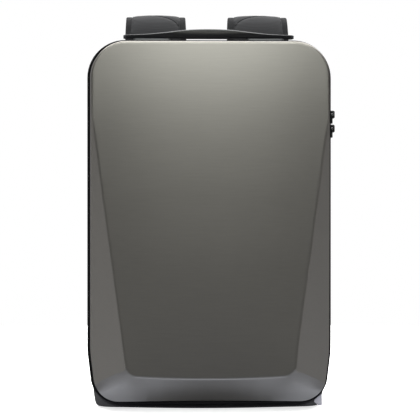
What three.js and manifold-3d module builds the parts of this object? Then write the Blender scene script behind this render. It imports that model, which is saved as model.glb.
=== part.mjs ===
// Hard-shell backpack standing on its base, in millimetres.
// +Z is up and the shell faces -Y; the origin is the middle of the flat base, on the floor.
import * as THREE from "three";
import { mergeVertices } from "three/addons/utils/BufferGeometryUtils.js";
import Module from "manifold-3d";

const wasm = await Module();
wasm.setup();

// Driving dimensions of the body
const RIM_HALF = 156; // half the width over the piping
const RIM_TOP = 474.5;
const RIM_BOTTOM = 9;
const RIM_TOP_RADIUS = 48.5;
const TAPER_HEIGHT = 77; // below this height the sides draw in
const TAPER_RADIUS = 150;
const FOOT_HALF = 148.3; // half width the drawn-in sides would have at the bottom
const FOOT_RADIUS = 36;
const CENTRE_HEIGHT = 240; // every outline is measured outward from this height
const BASE_BEHIND = 62; // middle of the flat base behind the rim plane
const GAP = 0.3; // clearance between neighbouring pieces

// Driving dimensions of the front shell
const SHELL_INSET = 3; // the shell's back edge lies this far inside the piping
const SHELL_DRAFT = 3.5;
const SHELL_WALL = 1.8;
const SHELL_DEPTH = 55;
const SHELL_CROWN = 5;
const EDGE_ROUND = 5;
const EDGE_STEPS = { shoulderInset: 0.3, shoulderFall: 0.35, wallFall: 1.1, wallShare: 0.7 };
const PANEL_FOOT_HALF = 107.8; // half width of the centre panel at PANEL_FOOT_HEIGHT
const PANEL_FOOT_HEIGHT = 79.8;
const PANEL_SPREAD = 0.135; // growth of that half width for each mm of height
const PANEL_BOTTOM = 48.6;
const PANEL_BOW = 3.8; // the panel's lower edge dips by this in the middle
const PANEL_CORNER = 14;
const SIDE_FALL = 0.55; // fall of the side facets for each mm outward
const BOTTOM_FALL = 1.15; // fall of the bottom facet

const group = new THREE.Group();
group.name = "backpack";

function material(color, roughness, metalness = 0) {
  return new THREE.MeshStandardMaterial({ color, roughness, metalness });
}
const MATERIALS = {
  shell: material(0x6f6c68, 0.42, 0.5),
  cloth: material(0x1b1a1d, 0.9),
  padding: material(0x3f3f41, 0.85),
  webbing: material(0x232226, 0.8),
  greyTab: material(0x8d8c95, 0.75),
  rubber: material(0x1c1c1e, 0.5),
  plastic: material(0x202022, 0.45),
  metal: material(0x2a2a2c, 0.35, 0.8),
};

function add(name, geometry, look) {
  const mesh = new THREE.Mesh(geometry, MATERIALS[look]);
  mesh.name = name;
  group.add(mesh);
}

function mix(a, b, share) {
  return a + (b - a) * share;
}

// Share that rises smoothly from 0 at one value to 1 at another, in either order.
function smooth(from, to, value) {
  const share = THREE.MathUtils.clamp((value - from) / (to - from), 0, 1);
  return share * share * (3 - 2 * share);
}

// Points of one rounded corner, between its two tangent points.
function roundCorner(before, corner, after, steps) {
  const at = new THREE.Vector2(corner.x, corner.z);
  const back = new THREE.Vector2(before.x, before.z).sub(at).normalize();
  const on = new THREE.Vector2(after.x, after.z).sub(at).normalize();
  const halfAngle = Math.acos(THREE.MathUtils.clamp(back.dot(on), -1, 1)) / 2;
  const bisector = back.clone().add(on).normalize();
  const centre = at.clone().addScaledVector(bisector, corner.radius / Math.sin(halfAngle));
  const reach = corner.radius / Math.tan(halfAngle);
  const start = at.clone().addScaledVector(back, reach).sub(centre);
  const end = at.clone().addScaledVector(on, reach).sub(centre);
  const turn = Math.atan2(start.cross(end), start.dot(end));
  const points = [];
  for (let i = 0; i <= steps; i++) {
    const origin = new THREE.Vector2();
    points.push(start.clone().rotateAround(origin, (turn * i) / steps).add(centre));
  }
  return points;
}

// Closed outline in X and Z from the corners of its right half, listed from top to bottom.
function outlineOf(rightHalf, steps = 10) {
  const leftHalf = rightHalf.map((c) => ({ ...c, x: -c.x })).reverse();
  const corners = [...rightHalf, ...leftHalf];
  const count = corners.length;
  return corners.flatMap((corner, i) =>
    roundCorner(corners[(i + count - 1) % count], corner, corners[(i + 1) % count], steps),
  );
}

function rimOutline(inset) {
  return outlineOf([
    { x: RIM_HALF - inset, z: RIM_TOP - inset, radius: RIM_TOP_RADIUS - inset },
    { x: RIM_HALF - inset, z: TAPER_HEIGHT, radius: TAPER_RADIUS },
    { x: FOOT_HALF - inset, z: RIM_BOTTOM + inset, radius: FOOT_RADIUS - inset },
  ]);
}

// Distance from the centre to an outline along a direction.
function reachOf(outline, angle) {
  const dx = Math.cos(angle);
  const dz = Math.sin(angle);
  let best = 0;
  outline.forEach((p, i) => {
    const q = outline[(i + 1) % outline.length];
    const px = p.x;
    const pz = p.y - CENTRE_HEIGHT;
    const ex = q.x - p.x;
    const ez = q.y - p.y;
    const det = ex * dz - ez * dx;
    if (Math.abs(det) < 1e-9) return;
    const along = (pz * dx - px * dz) / det;
    const far = (ex * pz - ez * px) / det;
    if (along >= -1e-9 && along <= 1 + 1e-9 && far > best) best = far;
  });
  return best;
}

// Skin over rings of points: a ring of one point closes an end, looped joins last to first.
function skin(rings, looped = false) {
  const positions = [];
  const triangle = (a, b, c) => positions.push(a.x, a.y, a.z, b.x, b.y, b.z, c.x, c.y, c.z);
  const last = looped ? rings.length : rings.length - 1;
  for (let i = 0; i < last; i++) {
    const near = rings[i];
    const far = rings[(i + 1) % rings.length];
    const count = Math.max(near.length, far.length);
    for (let j = 0; j < count; j++) {
      const k = (j + 1) % count;
      if (near.length > 1) triangle(near[j], near[k], far[far.length > 1 ? k : 0]);
      if (far.length > 1) triangle(near[near.length > 1 ? j : 0], far[k], far[j]);
    }
  }
  return facingOut(positions);
}

function signedVolume(p) {
  let sum = 0;
  for (let i = 0; i < p.length; i += 9) {
    const a = new THREE.Vector3(p[i], p[i + 1], p[i + 2]);
    const b = new THREE.Vector3(p[i + 3], p[i + 4], p[i + 5]);
    const c = new THREE.Vector3(p[i + 6], p[i + 7], p[i + 8]);
    sum += a.dot(b.cross(c)) / 6;
  }
  return sum;
}

function facingOut(positions) {
  if (signedVolume(positions) < 0) {
    for (let i = 0; i < positions.length; i += 9) {
      const second = positions.slice(i + 3, i + 6);
      positions.splice(i + 3, 3, ...positions.slice(i + 6, i + 9));
      positions.splice(i + 6, 3, ...second);
    }
  }
  const geometry = new THREE.BufferGeometry();
  geometry.setAttribute("position", new THREE.Float32BufferAttribute(positions, 3));
  geometry.computeVertexNormals();
  return geometry;
}

function solidOf(geometry) {
  const bare = new THREE.BufferGeometry();
  const flat = geometry.index ? geometry.toNonIndexed() : geometry;
  bare.setAttribute("position", flat.getAttribute("position"));
  const merged = mergeVertices(bare, 1e-3);
  const vertProperties = merged.attributes.position.array;
  const triVerts = new Uint32Array(merged.index.array);
  return new wasm.Manifold(new wasm.Mesh({ numProp: 3, vertProperties, triVerts }));
}

function geometryOf(solid) {
  const mesh = solid.getMesh();
  const geometry = new THREE.BufferGeometry();
  geometry.setAttribute("position", new THREE.BufferAttribute(mesh.vertProperties, 3));
  geometry.setIndex(new THREE.BufferAttribute(mesh.triVerts, 1));
  geometry.computeVertexNormals();
  return geometry;
}

// Directions in which every outline of the body is measured
const OUTLINE_STEPS = { topCorner: 8, taper: 2, footCorner: 9 };
const SIDE_STEPS = { top: 4, side: 8, foot: 2, bottom: 6 };

function directions() {
  const plain = [
    { x: RIM_HALF, z: RIM_TOP, radius: RIM_TOP_RADIUS, steps: OUTLINE_STEPS.topCorner },
    { x: RIM_HALF, z: TAPER_HEIGHT, radius: TAPER_RADIUS, steps: OUTLINE_STEPS.taper },
    { x: FOOT_HALF, z: RIM_BOTTOM, radius: FOOT_RADIUS, steps: OUTLINE_STEPS.footCorner },
  ];
  const sides = [SIDE_STEPS.side, SIDE_STEPS.foot];
  const topMiddle = { x: 0, z: RIM_TOP };
  const bottomMiddle = { x: 0, z: RIM_BOTTOM };
  const arcs = plain.map((corner, i) =>
    roundCorner(plain[i - 1] ?? topMiddle, corner, plain[i + 1] ?? bottomMiddle, corner.steps),
  );
  const right = [];
  const halfTop = SIDE_STEPS.top / 2;
  for (let i = 0; i < halfTop; i++) {
    right.push(new THREE.Vector2(0, RIM_TOP).lerp(arcs[0][0], i / halfTop));
  }
  arcs.forEach((arc, i) => {
    right.push(...arc);
    const from = arc[arc.length - 1];
    const to = i < sides.length ? arcs[i + 1][0] : new THREE.Vector2(0, RIM_BOTTOM);
    const steps = i < sides.length ? sides[i] : SIDE_STEPS.bottom / 2;
    for (let j = 1; j < steps; j++) right.push(from.clone().lerp(to, j / steps));
  });
  right.push(new THREE.Vector2(0, RIM_BOTTOM));
  const angles = right.map((p) => Math.atan2(p.y - CENTRE_HEIGHT, p.x));
  const mirrored = angles.slice(1, -1).map((a) => Math.PI - a).reverse();
  return [...angles, ...mirrored];
}
const DIRECTIONS = directions();

// Ring of points: reach and depth behind the rim plane for each direction.
function ring(reach, behind) {
  return DIRECTIONS.map((angle, i) => {
    const r = reach(angle, i);
    const x = r * Math.cos(angle);
    const z = CENTRE_HEIGHT + r * Math.sin(angle);
    return new THREE.Vector3(x, behind(x, z, angle, i) - BASE_BEHIND, z);
  });
}

function flatRing(outline, behind) {
  return ring((angle) => reachOf(outline, angle), () => behind);
}

// Front shell
const frontEdge = rimOutline(SHELL_INSET + SHELL_DRAFT);
const panelLimit = rimOutline(SHELL_INSET + SHELL_DRAFT + EDGE_ROUND);
const panelHalfAt = (z) => PANEL_FOOT_HALF + PANEL_SPREAD * (z - PANEL_FOOT_HEIGHT);
const panelOutline = outlineOf([
  { x: panelHalfAt(RIM_TOP), z: RIM_TOP, radius: 10 },
  { x: panelHalfAt(PANEL_BOTTOM), z: PANEL_BOTTOM, radius: PANEL_CORNER },
]);

function panelReach(angle) {
  const bow = PANEL_BOW * smooth(-0.6, -1, Math.sin(angle)) * -Math.sin(angle);
  const crease = reachOf(panelOutline, angle) + bow;
  return Math.min(crease, reachOf(panelLimit, angle) - 1.5);
}

function fallAt(angle) {
  return mix(SIDE_FALL, BOTTOM_FALL, smooth(0.76, 0.96, -Math.sin(angle)));
}

// Depth in front of the rim plane on the facets outside the centre panel
function facetDepth(angle, reach) {
  const outward = Math.max(0, reach - panelReach(angle));
  const flat = reachOf(panelLimit, angle) - panelReach(angle) < 1.6;
  return SHELL_DEPTH - (flat ? 0.05 : fallAt(angle)) * outward;
}

function shellRings(wall) {
  const limit = (angle) => reachOf(panelLimit, angle);
  const facet = (share) => (angle) => mix(panelReach(angle), limit(angle), share);
  const depth = (reach) => (x, z, angle) => wall - facetDepth(angle, reach(angle));
  const edgeInset = SHELL_INSET + SHELL_DRAFT;
  const { shoulderInset, shoulderFall, wallFall, wallShare } = EDGE_STEPS;
  const shoulder = rimOutline(edgeInset + EDGE_ROUND * shoulderInset + wall * wallShare);
  const wallFront = rimOutline(edgeInset + wall);
  const back = rimOutline(SHELL_INSET + wall);
  const edgeDepth = (angle) => facetDepth(angle, limit(angle));
  const panel = (share) =>
    ring(
      (angle) => panelReach(angle) * share,
      () => wall - SHELL_DEPTH - SHELL_CROWN * (1 - share * share),
    );
  const middle = new THREE.Vector3(0, wall - SHELL_DEPTH - SHELL_CROWN - BASE_BEHIND, CENTRE_HEIGHT);
  return [
    [middle],
    panel(0.5),
    panel(1),
    ring(facet(0.5), depth(facet(0.5))),
    ring(limit, depth(limit)),
    ring(
      (angle) => reachOf(shoulder, angle),
      (x, z, angle) => wall * wallShare - edgeDepth(angle) + EDGE_ROUND * shoulderFall,
    ),
    ring(
      (angle) => reachOf(wallFront, angle),
      (x, z, angle) => wall * (1 - wallShare) - edgeDepth(angle) + EDGE_ROUND * wallFall,
    ),
    flatRing(back, 0),
  ];
}
add("front_shell", skin([...shellRings(0), ...shellRings(SHELL_WALL).reverse()]), "shell");

// Piping round the shell's back edge: inset from the rim and depth of each profile point
const PIPING_PROFILE = [
  { inset: 1.3, behind: GAP },
  { inset: 0, behind: 1.6 },
  { inset: 0, behind: 3.6 },
  { inset: 1.3, behind: 4.9 },
  { inset: 6.2, behind: 4.9 },
  { inset: 6.2, behind: GAP },
];
const profileRings = (profile) => profile.map((p) => flatRing(rimOutline(p.inset), p.behind));
add("rim_piping", skin(profileRings(PIPING_PROFILE), true), "rubber");

// Zip tape with the raised row of teeth along its middle
const ZIP_MIDDLE = 12;
const ZIP_TOOTH_INSET = 1.6;
const ZIP_PROFILE = [
  { inset: 3, behind: 4.9 + GAP },
  { inset: 3, behind: ZIP_MIDDLE - 3 },
  { inset: ZIP_TOOTH_INSET, behind: ZIP_MIDDLE - 2.4 },
  { inset: ZIP_TOOTH_INSET, behind: ZIP_MIDDLE + 2.4 },
  { inset: 3, behind: ZIP_MIDDLE + 3 },
  { inset: 3, behind: 19 },
  { inset: 4.8, behind: 19 },
  { inset: 4.8, behind: 4.9 + GAP },
];
add("zip_tape", skin(profileRings(ZIP_PROFILE), true), "webbing");

// Soft rear body: a cloth tub that grows square lower corners towards the back
const BODY_WALL = 3;
const BODY_TAPER_HEIGHT = 97; // the body's sides draw in below this height
const BODY_COLUMNS = [
  "behind", "half", "top", "bottom", "foot",
  "topRadius", "footRadius", "lift", "inside",
];
const BODY_ROWS = [
  [19.3, 154.6, 473, 2, 147, 49, 37, 4.5, true],
  [25, 154.8, 472, 0, 148, 49, 35, 3.5, false],
  [37, 154, 472, 0, 148.4, 48, 25, 1, true],
  [50, 153, 472, 0, 148, 47, 12, 0, true],
  [60, 152, 472, 0, 147.4, 46, 6, 0, false],
  [84, 149, 468, 0, 146, 45, 6, 0, true],
  [91.5, 147, 466, 0, 144.6, 44, 6, 0, false],
  [95, 142, 461, 5, 140, 41, 6, 0, true],
];
const BODY_SECTIONS = BODY_ROWS.map((row) =>
  Object.fromEntries(BODY_COLUMNS.map((name, i) => [name, row[i]])),
);
const BODY_BACK = BODY_SECTIONS[BODY_SECTIONS.length - 1].behind;

function bodyRing(section, wall) {
  const outline = outlineOf([
    { x: section.half - wall, z: section.top - wall, radius: section.topRadius - wall },
    { x: section.half - wall, z: BODY_TAPER_HEIGHT, radius: TAPER_RADIUS },
    { x: section.foot - wall, z: section.bottom + wall, radius: section.footRadius - wall * 0.6 },
  ]);
  const flat = ring((angle) => reachOf(outline, angle), () => section.behind);
  for (const p of flat) {
    const low = smooth(CENTRE_HEIGHT, section.bottom, p.z);
    p.z += section.lift * (p.x / section.foot) ** 2 * low ** 4;
  }
  return flat;
}

function bodyRings(sections, wall) {
  const rings = sections.map((section) => bodyRing(section, wall));
  const back = BODY_BACK - wall - BASE_BEHIND;
  const middle = new THREE.Vector3(0, back, CENTRE_HEIGHT);
  for (const p of rings[rings.length - 1]) p.y = back;
  const inner = rings[rings.length - 1].map((p) => p.clone().lerp(middle, 0.5));
  return [...rings, inner, [middle]];
}
const bodyOuter = bodyRings(BODY_SECTIONS, 0);
const bodyInner = bodyRings(BODY_SECTIONS.filter((section) => section.inside), BODY_WALL);
add("rear_body", skin([...bodyOuter.reverse(), ...bodyInner]), "cloth");

// Back pad: one plain padded panel on the back of the body
const PAD = { half: 104, top: 405, bottom: 52, radius: 34, thick: 9, round: 6 };

function padRing(inset, behind) {
  const corners = [
    { x: PAD.half - inset, z: PAD.top - inset, radius: PAD.radius - inset },
    { x: PAD.half - inset, z: PAD.bottom + inset, radius: PAD.radius - inset },
  ];
  return outlineOf(corners, 7).map((p) => new THREE.Vector3(p.x, behind - BASE_BEHIND, p.y));
}
const padFront = BODY_BACK + GAP;
const padBack = padFront + PAD.thick;
const padMiddle = (PAD.top + PAD.bottom) / 2;
add(
  "back_pad",
  skin([
    [new THREE.Vector3(0, padFront - BASE_BEHIND, padMiddle)],
    padRing(0.8, padFront),
    padRing(0, padFront + 1.5),
    padRing(1.2, padBack - 3),
    padRing(PAD.round, padBack - 0.6),
    padRing(PAD.round * 2.5, padBack),
    [new THREE.Vector3(0, padBack - BASE_BEHIND, padMiddle)],
  ]),
  "padding",
);

// Sweep of a flat section along stations, each with a centre, two directions and its half sizes
function sweep(stations, section) {
  const rings = stations.map((s) =>
    section.map(({ across, out }) =>
      s.centre
        .clone()
        .addScaledVector(s.across, across * s.half)
        .addScaledVector(s.out, out * s.thick * 0.5),
    ),
  );
  return skin([[stations[0].centre], ...rings, [stations[stations.length - 1].centre]]);
}

// Stations along a curve through the rows of a table, wide across X
function stationsAlong(rows, side, steps) {
  const curve = new THREE.CatmullRomCurve3(
    rows.map((r) => new THREE.Vector3(side * r.x, r.behind - BASE_BEHIND, r.z)),
    false,
    "centripetal",
  );
  const last = rows.length - 1;
  return Array.from({ length: steps + 1 }, (_, i) => {
    const t = i / steps;
    const centre = curve.getPoint(t);
    const tangent = curve.getTangent(t);
    const across = new THREE.Vector3(1, 0, 0).addScaledVector(tangent, -tangent.x).normalize();
    const out = new THREE.Vector3().crossVectors(across, tangent).normalize();
    const at = Math.min(Math.floor(t * last), last - 1);
    const share = t * last - at;
    const half = mix(rows[at].half, rows[at + 1].half, share);
    const thick = mix(rows[at].thick, rows[at + 1].thick, share);
    return { centre, across, out, half, thick };
  });
}

function mirroredSection(half) {
  const otherHalf = half.filter((p) => p.across !== 0).map((p) => ({ ...p, across: -p.across }));
  const top = [...half, ...otherHalf.reverse()];
  const under = top.filter((p) => p.out !== 0).map((p) => ({ across: p.across, out: -p.out })).reverse();
  return [...top, ...under];
}

// Padded shoulder straps: up from the back, over a high bend and down behind it
const STRAP_ROWS = [
  { x: 68.5, behind: 100, z: 418, half: 37, thick: 9 },
  { x: 68.5, behind: 101, z: 450, half: 41, thick: 11.5 },
  { x: 68.5, behind: 106, z: 486, half: 41, thick: 12 },
  { x: 68.5, behind: 119, z: 513.5, half: 40, thick: 12 },
  { x: 68.5, behind: 138, z: 512, half: 40, thick: 12 },
  { x: 68.5, behind: 153, z: 478, half: 40, thick: 12 },
  { x: 68.5, behind: 159, z: 430, half: 39, thick: 12 },
  { x: 69, behind: 159, z: 375, half: 38, thick: 12 },
  { x: 72, behind: 154, z: 320, half: 36, thick: 12 },
  { x: 77, behind: 145, z: 268, half: 33, thick: 11.5 },
  { x: 83.8, behind: 134.8, z: 221.6, half: 28, thick: 10 },
];
const STRAP_SECTION = mirroredSection([
  { across: 1, out: 0 },
  { across: 0.97, out: 0.64 },
  { across: 0.87, out: 0.74 },
  { across: 0.81, out: 0.6 },
  { across: 0.7, out: 0.94 },
]);
const STRAP_STEPS = 24;

// Webbing from each strap's end down to the tab at the lower corner
const WEBBING_ROWS = [
  { x: 87.8, behind: 128.8, z: 198.4, half: 12.5, thick: 1.8 },
  { x: 97, behind: 119, z: 150, half: 12.5, thick: 1.8 },
  { x: 110, behind: 109, z: 96, half: 12.5, thick: 1.8 },
  { x: 123, behind: 101, z: 52, half: 12.5, thick: 1.8 },
  { x: 130, behind: 98.6, z: 26, half: 12.5, thick: 1.8 },
];
const WEBBING_SECTION = mirroredSection([
  { across: 1, out: 0.6 },
  { across: 0.94, out: 1 },
]);

// Adjuster frame, drawn flat: two slots in a rounded plate
const BUCKLE = { half: 21, halfLong: 11.5, thick: 5, slotHalf: 15, slot: 4.6, bar: 4.2, round: 4 };

function roundedPath(path, half, low, high, radius) {
  path.moveTo(-half + radius, low);
  path.lineTo(half - radius, low);
  path.absarc(half - radius, low + radius, radius, -Math.PI / 2, 0, false);
  path.absarc(half - radius, high - radius, radius, 0, Math.PI / 2, false);
  path.absarc(-half + radius, high - radius, radius, Math.PI / 2, Math.PI, false);
  path.absarc(-half + radius, low + radius, radius, Math.PI, Math.PI * 1.5, false);
  path.closePath();
  return path;
}

function buckleGeometry(from, to) {
  const { half, halfLong, thick, round } = BUCKLE;
  const plate = roundedPath(new THREE.Shape(), half, -halfLong, halfLong, round);
  for (const side of [-1, 1]) {
    const middle = side * (BUCKLE.bar + BUCKLE.slot) * 0.5;
    const low = middle - BUCKLE.slot / 2;
    plate.holes.push(roundedPath(new THREE.Path(), BUCKLE.slotHalf, low, low + BUCKLE.slot, 1.2));
  }
  const settings = { depth: thick, bevelEnabled: false, curveSegments: 3 };
  const flat = new THREE.ExtrudeGeometry(plate, settings).translate(0, 0, -thick / 2);
  const along = to.centre.clone().sub(from.centre).normalize();
  const across = new THREE.Vector3(1, 0, 0).addScaledVector(along, -along.x).normalize();
  const out = new THREE.Vector3().crossVectors(across, along);
  const middle = from.centre.clone().add(to.centre).multiplyScalar(0.5);
  flat.applyMatrix4(new THREE.Matrix4().makeBasis(across, along, out).setPosition(middle));
  return flat;
}

for (const [word, side] of [["left", -1], ["right", 1]]) {
  const strap = stationsAlong(STRAP_ROWS, side, STRAP_STEPS);
  const webbing = stationsAlong(WEBBING_ROWS, side, 10);
  add("strap_" + word, sweep(strap, STRAP_SECTION), "padding");
  add("webbing_" + word, sweep(webbing, WEBBING_SECTION), "webbing");
  add("buckle_" + word, buckleGeometry(strap[strap.length - 1], webbing[0]), "plastic");
}

function middleOf(points) {
  const sum = points.reduce((total, p) => total.add(p), new THREE.Vector3());
  return sum.divideScalar(points.length);
}

// Prism between two matching flat outlines
function prism(front, back) {
  return skin([[middleOf(front)], front, back, [middleOf(back)]]);
}

// Cloth tabs on the back at the lower corners, which hold the webbing
const ANCHOR_ROWS = [
  { x: 146.5, z: 4 },
  { x: 146.5, z: 40 },
  { x: 140, z: 44 },
  { x: 110, z: 11 },
  { x: 112, z: 5 },
];
const ANCHOR_THICK = 1.8;

for (const [word, side] of [["left", -1], ["right", 1]]) {
  const face = (behind) => ANCHOR_ROWS.map((r) => new THREE.Vector3(side * r.x, behind - BASE_BEHIND, r.z));
  const front = BODY_BACK + GAP;
  add("anchor_tab_" + word, prism(face(front), face(front + ANCHOR_THICK)), "webbing");
}

// Short grey tab that lies across the lower right corner, facing the front
const CORNER_TAB_ROWS = [
  { x: 136.8, z: 7.6 },
  { x: 145.3, z: 15.1 },
  { x: 147.2, z: 16.6 },
  { x: 147.5, z: 1.9 },
  { x: 143, z: 1.2 },
  { x: 136.8, z: 5.7 },
];
const CORNER_TAB = { behind: 21.5, slope: 0.95, thick: 1.6 };
const cornerTabFace = (forward) =>
  CORNER_TAB_ROWS.map((r) => {
    const behind = CORNER_TAB.behind + (r.x - CORNER_TAB_ROWS[0].x) * CORNER_TAB.slope;
    return new THREE.Vector3(r.x, behind - forward - BASE_BEHIND, r.z);
  });
add("corner_tab", prism(cornerTabFace(CORNER_TAB.thick), cornerTabFace(0)), "greyTab");

// Carry handle: half its rows, from the middle to the end
const HANDLE_BEHIND = 35;
const HANDLE_ROWS = [
  { x: 0, bottom: 480.4, top: 492, half: 14 },
  { x: 26, bottom: 480.4, top: 491.2, half: 14 },
  { x: 50, bottom: 480.2, top: 488.6, half: 13 },
  { x: 75, bottom: 480, top: 486, half: 12 },
  { x: 94, bottom: 479.9, top: 484.9, half: 11 },
  { x: 103, bottom: 479.8, top: 484.7, half: 10.5 },
  { x: 108, bottom: 480, top: 484.8, half: 9 },
  { x: 110.6, bottom: 480.8, top: 484.2, half: 5.5 },
];
const HANDLE_SECTION = [
  { across: 1, out: -0.15 },
  { across: 0.93, out: 0.42 },
  { across: 0.66, out: 0.84 },
  { across: 0.24, out: 1 },
  { across: -0.24, out: 1 },
  { across: -0.66, out: 0.84 },
  { across: -0.93, out: 0.42 },
  { across: -1, out: -0.15 },
  { across: -0.9, out: -0.75 },
  { across: -0.7, out: -1 },
  { across: 0.7, out: -1 },
  { across: 0.9, out: -0.75 },
];

function handleStation(row, side) {
  const centre = new THREE.Vector3(side * row.x, HANDLE_BEHIND - BASE_BEHIND, (row.top + row.bottom) / 2);
  const across = new THREE.Vector3(0, 1, 0);
  const out = new THREE.Vector3(0, 0, 1);
  return { centre, across, out, half: row.half, thick: row.top - row.bottom };
}
const handleStations = [
  ...HANDLE_ROWS.slice(1).reverse().map((row) => handleStation(row, -1)),
  ...HANDLE_ROWS.map((row) => handleStation(row, 1)),
];
add("carry_handle", sweep(handleStations, HANDLE_SECTION), "rubber");

// Long feet under both halves of the handle, standing on the top of the body
const HANDLE_FOOT = { x: 73.5, half: 24.5, deep: 17, bottom: 472.4, top: 479.8 - GAP, round: 4 };

for (const [word, side] of [["left", -1], ["right", 1]]) {
  const shape = roundedPath(
    new THREE.Shape(),
    HANDLE_FOOT.half,
    -HANDLE_FOOT.deep / 2,
    HANDLE_FOOT.deep / 2,
    HANDLE_FOOT.round,
  );
  const height = HANDLE_FOOT.top - HANDLE_FOOT.bottom;
  const foot = new THREE.ExtrudeGeometry(shape, { depth: height, bevelEnabled: false, curveSegments: 3 });
  foot.translate(side * HANDLE_FOOT.x, HANDLE_BEHIND - BASE_BEHIND, HANDLE_FOOT.bottom);
  add("handle_foot_" + word, foot, "rubber");
}

// Zip sliders on the right side, each with a bridge that holds a hanging pull
const SLIDER = {
  plateHalf: 5, // half width across the teeth
  plateTop: 5.2, // above the pull's axis
  plateBottom: 12, // below it
  bridgeHalf: 1.6,
  bridgeTall: 5, // half its height
  windowTall: 1.3, // half the height of the window that the pull's bar turns in
  inner: RIM_HALF - ZIP_TOOTH_INSET + GAP,
  face: 157.2, // outer face of the plate
  windowRoof: 159.6,
  bridgeRoof: 162,
};
const PULL = {
  axis: 158.4, // from the middle of the bag
  bar: 1.6, // across the round bar under the bridge
  half: 3.9,
  armInner: 2.3,
  tabTop: -5.8,
  tabBottom: -11.6,
  thick: 1.2,
};
const ZIP_Y = ZIP_MIDDLE - BASE_BEHIND;
const SLIDER_HEIGHTS = { upper: 380, lower: 362 };

// Side profile of the bridge with its window, drawn in X and Z
function bridgeGeometry() {
  const round = 2;
  const shape = new THREE.Shape();
  shape.moveTo(SLIDER.face - 1, -SLIDER.bridgeTall);
  shape.lineTo(SLIDER.bridgeRoof - round, -SLIDER.bridgeTall);
  shape.absarc(SLIDER.bridgeRoof - round, -SLIDER.bridgeTall + round, round, -Math.PI / 2, 0, false);
  shape.absarc(SLIDER.bridgeRoof - round, SLIDER.bridgeTall - round, round, 0, Math.PI / 2, false);
  shape.lineTo(SLIDER.face - 1, SLIDER.bridgeTall);
  shape.closePath();
  const window = new THREE.Path();
  window.moveTo(SLIDER.face, -SLIDER.windowTall);
  window.lineTo(SLIDER.windowRoof, -SLIDER.windowTall);
  window.lineTo(SLIDER.windowRoof, SLIDER.windowTall);
  window.lineTo(SLIDER.face, SLIDER.windowTall);
  window.closePath();
  shape.holes.push(window);
  const depth = SLIDER.bridgeHalf * 2;
  const flat = new THREE.ExtrudeGeometry(shape, { depth, bevelEnabled: false, curveSegments: 4 });
  return flat.translate(0, 0, -SLIDER.bridgeHalf).rotateX(Math.PI / 2);
}

function sliderGeometry() {
  const shape = roundedPath(
    new THREE.Shape(),
    SLIDER.plateHalf,
    -SLIDER.plateBottom,
    SLIDER.plateTop,
    SLIDER.plateHalf * 0.6,
  );
  const depth = SLIDER.face - SLIDER.inner;
  const plate = new THREE.ExtrudeGeometry(shape, { depth, bevelEnabled: false, curveSegments: 4 });
  plate.rotateX(Math.PI / 2).rotateZ(Math.PI / 2).translate(SLIDER.inner, 0, 0);
  return geometryOf(solidOf(plate).add(solidOf(bridgeGeometry())));
}

function pullGeometry() {
  const shape = roundedPath(new THREE.Shape(), PULL.half, PULL.tabBottom, PULL.bar / 2, 0.8);
  const hole = roundedPath(new THREE.Path(), PULL.armInner, PULL.tabTop, -PULL.bar / 2, 0.4);
  shape.holes.push(hole);
  const settings = { depth: PULL.thick, bevelEnabled: false, curveSegments: 3 };
  const flat = new THREE.ExtrudeGeometry(shape, settings).translate(0, 0, -PULL.thick / 2);
  flat.rotateX(Math.PI / 2).rotateZ(Math.PI / 2).translate(PULL.axis, 0, 0);
  const bar = new THREE.CylinderGeometry(PULL.bar / 2, PULL.bar / 2, PULL.half * 2, 12);
  bar.translate(PULL.axis, 0, 0);
  return geometryOf(solidOf(flat).add(solidOf(bar)));
}

for (const [word, height] of Object.entries(SLIDER_HEIGHTS)) {
  add("slider_" + word, sliderGeometry().translate(0, ZIP_Y, height), "metal");
  add("pull_" + word, pullGeometry().translate(0, ZIP_Y, height), "metal");
}

export default group;
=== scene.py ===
import math

import bmesh
import bpy
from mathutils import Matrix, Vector, kdtree, noise


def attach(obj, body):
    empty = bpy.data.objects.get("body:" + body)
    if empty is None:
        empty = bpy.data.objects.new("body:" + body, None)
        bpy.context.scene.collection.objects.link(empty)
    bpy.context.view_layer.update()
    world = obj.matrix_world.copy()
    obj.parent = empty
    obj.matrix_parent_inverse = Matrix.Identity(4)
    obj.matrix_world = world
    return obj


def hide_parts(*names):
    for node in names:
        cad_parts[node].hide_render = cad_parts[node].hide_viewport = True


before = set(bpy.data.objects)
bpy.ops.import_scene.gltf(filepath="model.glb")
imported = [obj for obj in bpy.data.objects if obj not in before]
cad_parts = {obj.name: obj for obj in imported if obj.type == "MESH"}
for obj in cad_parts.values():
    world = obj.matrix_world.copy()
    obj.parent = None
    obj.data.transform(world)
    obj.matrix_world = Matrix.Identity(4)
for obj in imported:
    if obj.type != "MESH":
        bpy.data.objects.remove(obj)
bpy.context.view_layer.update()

scene = bpy.context.scene
mm = 0.001
rimBehind = 62.0  # the origin lies this many mm behind the rim plane
samePlace = 0.01 * mm
sameCut = 0.001 * mm
facing = 0.9  # least share of a normal along an axis for a face that looks that way
white = (1, 1, 1, 1)
partLists = {"VERT": "verts", "EDGE": "edges", "FACE": "faces"}


def place(x, behind, z):
    return Vector((x, behind - rimBehind, z)) * mm


def deselectAll():
    if bpy.context.object and bpy.context.object.mode != "OBJECT":
        bpy.ops.object.mode_set(mode="OBJECT")
    bpy.ops.object.select_all(action="DESELECT")


def makeActive(piece):
    deselectAll()
    piece.select_set(True)
    bpy.context.view_layer.objects.active = piece


def namePiece(name, size=None):
    piece = bpy.context.object
    piece.name = name
    piece.data.name = name
    if size is not None:
        piece.scale = size
    bpy.ops.object.transform_apply(location=True, rotation=True, scale=True)
    return piece


def addBlock(name, low, high):
    deselectAll()
    bpy.ops.mesh.primitive_cube_add(size=1, location=(low + high) / 2)
    return namePiece(name, high - low)


def joinPieces(pieces, name):
    makeActive(pieces[0])
    for piece in pieces:
        piece.select_set(True)
    bpy.ops.object.join()
    return namePiece(name)


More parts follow.
